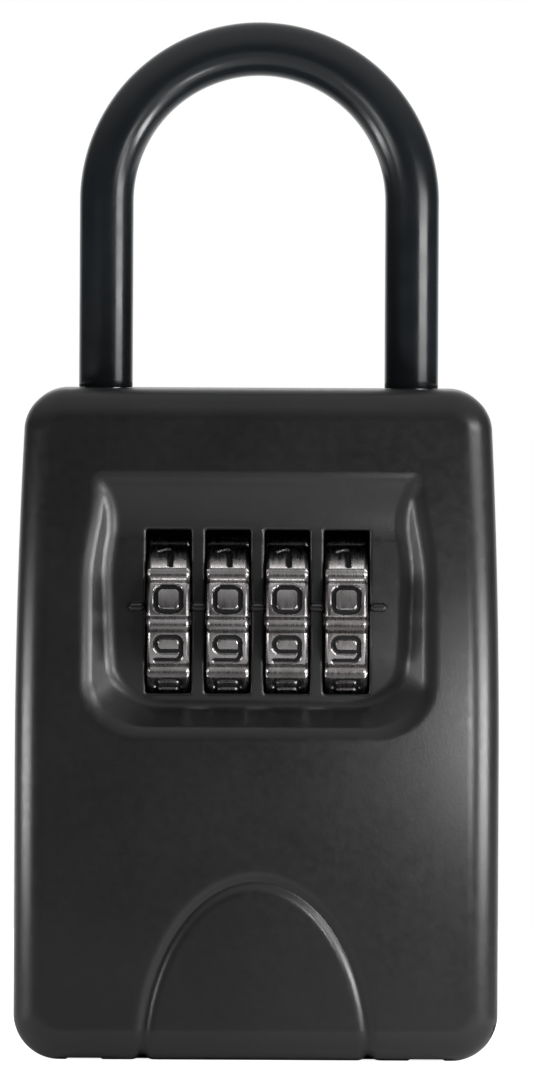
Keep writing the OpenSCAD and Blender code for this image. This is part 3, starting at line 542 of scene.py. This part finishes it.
def nickel_material():
    """Black nickel plating, brushed round the wheel and grainy in its flutes, its engraved strokes coloured
    near-black.
    """
    mat, tree, shader = new_material("dark_nickel_plate", (0.35, 0.35, 0.37), 1, 0.25)
    lines = noise_node(tree, 500, 4, (6, 1, 1))
    vary(tree, lines, shader.inputs["Roughness"], 0.2, 0.38)
    cloud = noise_node(tree, 300, 3)
    vary_color(tree, cloud, shader.inputs["Base Color"], (0.23, 0.215, 0.21), (0.36, 0.345, 0.345))
    add_bump(tree, shader, noise_node(tree, 2500, 4), 0.15, 0.00004)
    # Near-black colour mixed in over the engraved digit strokes, from a mask that the wheel mesh carries.
    dark_stroke_mask = tree.nodes.new("ShaderNodeAttribute")
    dark_stroke_mask.attribute_name = "dark_stroke_mask"
    dark = tree.nodes.new("ShaderNodeBsdfPrincipled")
    dark.inputs["Base Color"].default_value = (0.006, 0.006, 0.007, 1)
    dark.inputs["Roughness"].default_value = 0.7
    dark.inputs["Specular IOR Level"].default_value = 0.25
    mix = tree.nodes.new("ShaderNodeMixShader")
    out = tree.nodes["Material Output"]
    tree.links.new(dark_stroke_mask.outputs["Fac"], mix.inputs["Fac"])
    tree.links.new(shader.outputs[0], mix.inputs[1])
    tree.links.new(dark.outputs[0], mix.inputs[2])
    tree.links.new(mix.outputs[0], out.inputs["Surface"])
    return mat


coat = coat_material()
vinyl = vinyl_material()
nickel = nickel_material()
bright = metal_material("bright_zinc", (0.42, 0.42, 0.43), (0.55, 0.55, 0.56), (0.24, 0.36), 0.15)
plate = metal_material("zinc_plate", (0.40, 0.40, 0.40), (0.52, 0.52, 0.51), (0.3, 0.45), 0.2, (1, 1, 8))
spring = metal_material("spring_wire", (0.30, 0.30, 0.32), (0.40, 0.40, 0.42), (0.25, 0.35), 0.1)
zinc = metal_material("zinc_casting", (0.36, 0.37, 0.38), (0.48, 0.49, 0.50), (0.4, 0.55), 0.35)
steel = metal_material("shackle_steel", (0.42, 0.42, 0.43), (0.55, 0.55, 0.56), (0.22, 0.34), 0.1)
brass = metal_material("turned_brass", (0.52, 0.36, 0.13), (0.70, 0.52, 0.22), (0.22, 0.34), 0.12)


def black_sheet_material():
    mat, tree, shader = new_material("black_sheet", (0.025, 0.026, 0.028), 0, 0.45)
    vary(tree, noise_node(tree, 1200, 3), shader.inputs["Roughness"], 0.38, 0.5)
    cloud = noise_node(tree, 90, 3)
    vary_color(tree, cloud, shader.inputs["Base Color"], (0.021, 0.022, 0.024), (0.030, 0.031, 0.033))
    add_bump(tree, shader, noise_node(tree, 3000, 3), 0.15, 0.00004)
    return mat


black_sheet = black_sheet_material()


def dress(node, mat):
    """Gives a carried-over CAD node its material."""
    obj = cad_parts[node]
    obj.data.materials.clear()
    obj.data.materials.append(mat)


for node, mat in (
    ("hinge_pin", bright),
    ("locking_spindle", bright),
    ("latch_plate", plate),
    ("latch_guide_screws", bright),
    ("latch_spring", spring),
    ("click_spring", spring),
    ("reset_comb", zinc),
    ("reset_spring", spring),
    ("mechanism_cover", black_sheet),
    ("mechanism_screws", bright),
    ("strike_plate", plate),
    ("strike_screws", bright),
    ("shackle", steel),
    ("shackle_latch", plate),
    ("shackle_latch_spring", spring),
    ("retainer_plate", plate),
    ("retainer_screws", bright),
):
    dress(node, mat)
for i in range(1, 5):
    dress(f"code_sleeve_{i}", brass)


def place(piece, mat, body, slot, *nodes):
    piece.data.materials.append(mat)
    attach(piece, body)
    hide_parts(*nodes)


# Castings

door_xs = grid_axis((-32.8, -27, 0.35), (-27, -20, 0.5), (-20, 20, 0.27), (20, 27, 0.5), (27, 32.8, 0.35))
door_ys = grid_axis((-18.7, -9.4, 0.27), (-9.4, 5.8, 0.6))
door_zs = grid_axis((-0.3, 9, 0.36), (9, 30, 0.42), (30, 43, 0.6), (43, 80, 0.27), (80, 90.5, 0.4))
door = cast_piece("door_casting", door_field, door_xs, door_ys, door_zs)
place(door, coat, "door", "cast_body", "front_door")

house_xs = grid_axis((-32.8, -26, 0.35), (-26, 26, 0.6), (26, 32.8, 0.35))
house_ys = grid_axis((-17.6, -8, 0.35), (-8, 13, 0.6), (13, 19.3, 0.35))
house_zs = grid_axis((-0.3, 9, 0.36), (9, 78, 0.7), (78, 90.5, 0.36))
house = cast_piece("housing_casting", housing_field, house_xs, house_ys, house_zs)
place(house, coat, "housing", "cast_body", "rear_housing")

# Number wheels


def rounded_path(points, r, closed=False):
    """Points along straight runs joined by arcs of radius r."""
    pts = [np.array(p, dtype=float) for p in points]
    out = []
    n = len(pts)
    for i in range(n):
        if not closed and i in (0, n - 1):
            out.append(pts[i])
            continue
        p = pts[i]
        a = pts[(i - 1) % n] - p
        b = pts[(i + 1) % n] - p
        la = np.linalg.norm(a)
        lb = np.linalg.norm(b)
        reach = min(r, la * 0.5, lb * 0.5)
        start = p + a / la * reach
        end = p + b / lb * reach
        for t in np.linspace(0, 1, 6):
            out.append((1 - t) ** 2 * start + 2 * t * (1 - t) * p + t * t * end)
    if closed:
        out.append(out[0])
    return out


# Half width, half height and corner radius of a digit's strokes
W = 1.72
H = 1.72
ROUND = 1.0
DIGITS = [
    [([(-W, H), (W, H), (W, -H), (-W, -H)], True)],
    [([(-1.25, 0.85), (0.25, H), (0.25, -H)], False)],
    [([(-W, H), (W, H), (W, 0.1), (-W, -0.3), (-W, -H), (W, -H)], False)],
    [([(-W, H), (W, H), (W, 0.0), (-0.5, 0.0)], False), ([(-0.5, 0.0), (W, 0.0), (W, -H), (-W, -H)], False)],
    [([(0.9, -H), (0.9, H), (-W, -0.7), (W, -0.7)], False)],
    [([(W, H), (-W, H), (-W, 0.2), (W, 0.2), (W, -H), (-W, -H)], False)],
    [([(W, H), (-W, H), (-W, -H), (W, -H), (W, 0.15), (-W, 0.15)], False)],
    [([(-W, H), (W, H), (-0.4, -H)], False)],
    [([(-W, H), (W, H), (W, 0.1), (-W, 0.1)], True), ([(-W, 0.1), (W, 0.1), (W, -H), (-W, -H)], True)],
    [([(W, -0.35), (-W, -0.35), (-W, H), (W, H), (W, -H), (-W, -H)], False)],
]


def stroke_distance(digit, u, v):
    """Distance of points from a digit's strokes."""
    best = np.full(u.shape, 9.0)
    for points, closed in DIGITS[digit]:
        path = rounded_path(points, ROUND, closed)
        for p, q in zip(path, path[1:]):
            e = q - p
            t = np.clip(((u - p[0]) * e[0] + (v - p[1]) * e[1]) / max(e @ e, 1e-9), 0, 1)
            best = np.minimum(best, hyp(u - p[0] - t * e[0], v - p[1] - t * e[1]))
    return best


STEP = math.radians(36)
READING = math.radians(15)
FLUTE_R = 1.1
FLUTE_DEPTH = 1.0
FLUTE_CENTRE = WHEEL_R + FLUTE_R - FLUTE_DEPTH
STROKE_HALF = 0.3
ENGRAVED = 0.32
BORE_R = 4.98
EDGE_SOFT = 0.2
LUG_ROOM_R = 5.75
NOTCH_HALF_W = 0.7
NOTCH_END = 0.65
MOUTH_END = 1.7
DIGIT_REACH = 2.4
FINE_HALF = 2.3


def rim_radius(x, angle):
    """Radius of a wheel's outside at an angle above straight ahead."""
    turned = angle - READING
    k = np.round(turned / STEP)
    off = turned - k * STEP
    land = WHEEL_R * (1 - 0.35 * (1 - np.cos(off)))
    flute_off = STEP / 2 - np.abs(off)
    reach = FLUTE_CENTRE * np.sin(flute_off)
    depth = np.sqrt(np.maximum(FLUTE_R**2 - reach**2, 0))
    flute = np.where(np.abs(reach) < FLUTE_R, FLUTE_CENTRE * np.cos(flute_off) - depth, WHEEL_R + 0.4)
    blend = np.maximum(EDGE_SOFT - np.abs(land - flute), 0)
    r = np.minimum(land, flute) - blend * blend / (4 * EDGE_SOFT)
    edge = np.maximum(np.abs(x) - (WHEEL_HALF - WHEEL_BEVEL), 0) / WHEEL_BEVEL
    r = r - WHEEL_BEVEL * edge**1.4
    sunk = np.zeros_like(r)
    v = off * WHEEL_R
    for digit in range(10):
        on = np.mod(k, 10) == digit
        on &= (np.abs(v) < DIGIT_REACH) & (np.abs(x) < DIGIT_REACH)
        if on.any():
            d = stroke_distance(digit, x[on], v[on])
            sunk[on] = ramp(STROKE_HALF + 0.08 - d, 0, 0.16)
    return r - ENGRAVED * sunk, sunk


def wheel_mesh(name, cx):
    """A wheel turned about X from rows of (place along X, radius), with a mask where its engraved strokes
    are coloured near-black.
    """
    left = np.linspace(-WHEEL_HALF, -FINE_HALF, 6)
    middle = np.linspace(-FINE_HALF, FINE_HALF, 40)[1:-1]
    across = np.concatenate([left, middle, np.linspace(FINE_HALF, WHEEL_HALF, 6)])
    angles = np.linspace(0, 2 * math.pi, 561)[:-1]
    x_grid, a_grid = np.meshgrid(across, angles, indexing="ij")
    r_grid, sunk = rim_radius(x_grid, a_grid)
    rows = [(x_grid, r_grid)]
    ones = np.ones((1, len(angles)))
    notch_off = np.abs(np.mod(angles - READING + STEP / 2, STEP) - STEP / 2) * LUG_ROOM_R
    notched = np.where(notch_off < NOTCH_HALF_W, LUG_ROOM_R, BORE_R)[None, :]
    outer_right = r_grid[-1:, :]
    outer_left = r_grid[:1, :]
    for t in (0.15, 0.45, 0.75, 1):
        rows.append((WHEEL_HALF * ones, outer_right + (LUG_ROOM_R - outer_right) * t))
    rows.append((MOUTH_END * ones, LUG_ROOM_R * ones))
    rows.append((NOTCH_END * ones, LUG_ROOM_R * ones))
    rows.append((NOTCH_END * ones, notched))
    rows.append((-1.0 * ones, notched))
    rows.append((-WHEEL_HALF * ones, notched))
    for t in (0.75, 0.45, 0.15):
        rows.append((-WHEEL_HALF * ones, outer_left + (notched - outer_left) * t))
    xs = np.concatenate([r[0] for r in rows])
    rs = np.concatenate([r[1] for r in rows])
    points = np.stack([xs + cx, AXIS_Y - rs * np.cos(angles), WHEEL_Z + rs * np.sin(angles)], axis=-1)
    obj = make_mesh(name, points.reshape(-1, 3), wrap_quads(*rs.shape))
    # Mask of the engraved strokes, which the material colours near-black.
    dark_stroke_mask = np.zeros(rs.shape)
    dark_stroke_mask[: len(across)] = ramp(sunk, 0.45, 0.95)
    layer = obj.data.attributes.new("dark_stroke_mask", "FLOAT", "POINT")
    layer.data.foreach_set("value", dark_stroke_mask.ravel())
    return obj


for i, cx in enumerate(WHEEL_XS, 1):
    wheel = wheel_mesh(f"engraved_wheel_{i}", cx)
    wheel.data.set_sharp_from_angle(angle=math.radians(50))
    place(wheel, nickel, f"wheel_{i}", "dark_nickel", f"number_wheel_{i}")

# Shackle coating


def sleeve_mesh():
    """A tube along the bow with rounded ends, and the bar's room inside."""
    foot_z = BODY_H + 0.06
    bar_gap = 0.02
    arc = np.linspace(0, math.pi, 97)
    legs = np.linspace(foot_z, ARCH_Z, 26)[:-1]
    path = [(LEG_X, z, 1.0, 0.0) for z in legs]
    path += [(LEG_X * math.cos(a), ARCH_Z + LEG_X * math.sin(a), math.cos(a), math.sin(a)) for a in arc]
    path += [(-LEG_X, z, -1.0, 0.0) for z in legs[::-1]]
    n = 72
    turn = np.linspace(0, 2 * math.pi, n + 1)[:-1]
    rings = []
    last = len(path) - 1

    def ring(at, r, drop=0.0):
        x, z, ex, ez = at
        return np.stack([x + r * np.cos(turn) * ex, SHACKLE_Y + r * np.sin(turn),
                         z + drop + r * np.cos(turn) * ez], axis=1)

    def end_ring(at, t):
        round_r = 0.15
        a = t * math.pi / 2
        return ring(at, SLEEVE_R - round_r + round_r * math.sin(a), round_r * (1 - math.cos(a)))

    for t in np.linspace(0, 1, 5)[:-1]:
        rings.append(end_ring(path[0], t))
    for at in path[1:last]:
        rings.append(ring(at, SLEEVE_R))
    for t in np.linspace(1, 0, 5)[1:]:
        rings.append(end_ring(path[last], t))
    for at in path[::-1]:
        rings.append(ring(at, BAR_R + bar_gap))
    return make_mesh("bow_coating", np.concatenate(rings), wrap_quads(len(rings), n))


sleeve = sleeve_mesh()
sleeve.data.set_sharp_from_angle(angle=math.radians(60))
place(sleeve, vinyl, "shackle", "vinyl_coating", "shackle_sleeve")


# Stage, lights and camera

# Y in metres on the floor, and of a direction in the sky, over which mirrored white fades in
FLOOR_FADE = (0.04, 0.3)
SKY_FADE = (0.6, 0.92)


def background_rays(tree, coordinates, low, high):
    """1 for rays that see the white: the camera's, and mirrored or refracted ones to the back."""
    nodes = tree.nodes
    path = nodes.new("ShaderNodeLightPath")
    coord = nodes.new("ShaderNodeTexCoord")
    parts = nodes.new("ShaderNodeSeparateXYZ")
    back = nodes.new("ShaderNodeMapRange")
    back.interpolation_type = "SMOOTHSTEP"
    back.inputs["From Min"].default_value = low
    back.inputs["From Max"].default_value = high
    either = nodes.new("ShaderNodeMath")
    either.operation = "MAXIMUM"
    mirrored = nodes.new("ShaderNodeMath")
    mirrored.operation = "MULTIPLY"
    seen = nodes.new("ShaderNodeMath")
    seen.operation = "MAXIMUM"
    tree.links.new(coord.outputs[coordinates], parts.inputs["Vector"])
    tree.links.new(parts.outputs["Y"], back.inputs["Value"])
    tree.links.new(path.outputs["Is Glossy Ray"], either.inputs[0])
    tree.links.new(path.outputs["Is Transmission Ray"], either.inputs[1])
    tree.links.new(either.outputs[0], mirrored.inputs[0])
    tree.links.new(back.outputs["Result"], mirrored.inputs[1])
    tree.links.new(path.outputs["Is Camera Ray"], seen.inputs[0])
    tree.links.new(mirrored.outputs[0], seen.inputs[1])
    return seen.outputs[0]


def stage_material(name, diffuse, glow):
    """White to the rays that background_rays names, with a matte share that takes the shadow."""
    mat = bpy.data.materials.new(name)
    mat.use_nodes = True
    tree = mat.node_tree
    tree.nodes.clear()
    out = tree.nodes.new("ShaderNodeOutputMaterial")
    add = tree.nodes.new("ShaderNodeAddShader")
    matte = tree.nodes.new("ShaderNodeBsdfDiffuse")
    matte.inputs["Color"].default_value = (diffuse, diffuse, diffuse, 1)
    light = tree.nodes.new("ShaderNodeEmission")
    scale = tree.nodes.new("ShaderNodeMath")
    scale.operation = "MULTIPLY"
    scale.inputs[1].default_value = glow
    tree.links.new(background_rays(tree, "Object", *FLOOR_FADE), scale.inputs[0])
    tree.links.new(scale.outputs[0], light.inputs["Strength"])
    tree.links.new(matte.outputs[0], add.inputs[0])
    tree.links.new(light.outputs[0], add.inputs[1])
    tree.links.new(add.outputs[0], out.inputs["Surface"])
    return mat


def floor_disc(radius, steps=96):
    points = [(0, 0, 0)]
    points += [(radius * math.cos(2 * math.pi * i / steps), radius * math.sin(2 * math.pi * i / steps), 0)
               for i in range(steps)]
    faces = [(0, 1 + i, 1 + (i + 1) % steps) for i in range(steps)]
    mesh = bpy.data.meshes.new("studio_floor")
    mesh.from_pydata(points, [], faces)
    obj = bpy.data.objects.new("studio_floor", mesh)
    bpy.context.collection.objects.link(obj)
    return obj


FLOOR_DROP = 0.00002
floor = floor_disc(0.6)
floor.location.z = -FLOOR_DROP
floor.data.materials.append(stage_material("floor_white", 0.8, 0.9))


def make_world():
    """White to the rays that background_rays names; to others, dim low down and brighter overhead."""
    world = bpy.data.worlds.new("studio")
    bpy.context.scene.world = world
    world.use_nodes = True
    tree = world.node_tree
    tree.nodes.clear()
    out = tree.nodes.new("ShaderNodeOutputWorld")
    mix = tree.nodes.new("ShaderNodeMixShader")
    dim = tree.nodes.new("ShaderNodeBackground")
    white = tree.nodes.new("ShaderNodeBackground")
    coord = tree.nodes.new("ShaderNodeTexCoord")
    parts = tree.nodes.new("ShaderNodeSeparateXYZ")
    fade = tree.nodes.new("ShaderNodeMapRange")
    fade.interpolation_type = "SMOOTHSTEP"
    fade.inputs["From Min"].default_value = 0.05
    fade.inputs["From Max"].default_value = 0.95
    fade.inputs["To Min"].default_value = 0.05
    fade.inputs["To Max"].default_value = 0.65
    dim.inputs["Color"].default_value = (0.98, 0.99, 1, 1)
    white.inputs["Color"].default_value = (1, 1, 1, 1)
    white.inputs["Strength"].default_value = 1
    tree.links.new(coord.outputs["Generated"], parts.inputs["Vector"])
    tree.links.new(parts.outputs["Z"], fade.inputs["Value"])
    tree.links.new(fade.outputs["Result"], dim.inputs["Strength"])
    tree.links.new(background_rays(tree, "Generated", *SKY_FADE), mix.inputs["Fac"])
    tree.links.new(dim.outputs[0], mix.inputs[1])
    tree.links.new(white.outputs[0], mix.inputs[2])
    tree.links.new(mix.outputs[0], out.inputs["Surface"])


make_world()


def softbox(name, target, az, el, distance, size, radiance, spread=180):
    """An area light seen from a target in millimetres at an azimuth and elevation, facing that target."""
    data = bpy.data.lights.new(name, "AREA")
    data.shape = "RECTANGLE"
    data.size = size[0] * MM
    data.size_y = size[1] * MM
    data.spread = math.radians(spread)
    half = math.radians(spread / 2)
    grid = 1 - half / math.tan(half) if spread < 179 else 1
    data.energy = radiance * math.pi * data.size * data.size_y * grid
    obj = bpy.data.objects.new(name, data)
    bpy.context.collection.objects.link(obj)
    az = math.radians(az)
    el = math.radians(el)
    away = Vector((math.sin(az) * math.cos(el), -math.cos(az) * math.cos(el), math.sin(el)))
    obj.location = (Vector(target) + away * distance) * MM
    obj.rotation_mode = "QUATERNION"
    obj.rotation_quaternion = away.to_track_quat("Z", "Y")
    return obj


softbox("right_low", (32, -18, 42), 62, 0, 90, (58, 30), 18)
softbox("left_low", (-30, -16, 39), -77, 0, 112, (72, 25), 14)
softbox("right_high", (0, 4, 108), 54, 0, 165, (94, 28), 11)
softbox("front_low", (36, -18, 42), 4, 1, 67, (20, 17), 20)
softbox("wheel_top", (0, -15.5, 67), 0, 66, 36, (34, 8), 9, 22)
for i, (az, el) in enumerate(((30, -12), (44, -12))):
    softbox(f"arch_right_{i}", (-15, 4, 129), az, el, 300, (74, 60), 9, 15)
for i, (az, el) in enumerate(((-28, -19), (-42, -17))):
    softbox(f"arch_left_{i}", (16, 4, 129), az, el, 300, (74, 80), 10, 15)


def make_camera():
    distance = 3.4
    height = 0.115
    aim_height = 0.0708
    dip = math.atan2(height - aim_height, distance)
    field = 0.1434
    shift = 0.00095
    roll = -0.28
    data = bpy.data.cameras.new("camera")
    cam = bpy.data.objects.new("camera", data)
    bpy.context.collection.objects.link(cam)
    data.sensor_width = 36
    data.lens = 36 * distance / field
    data.clip_start = 0.1
    data.clip_end = 40
    cam.location = (shift, FRONT_Y * MM - distance, height)
    cam.rotation_euler = (math.radians(90) - dip, math.radians(roll), 0)
    bpy.context.scene.camera = cam
    return cam


make_camera()
bpy.context.scene.view_settings.view_transform = "Standard"
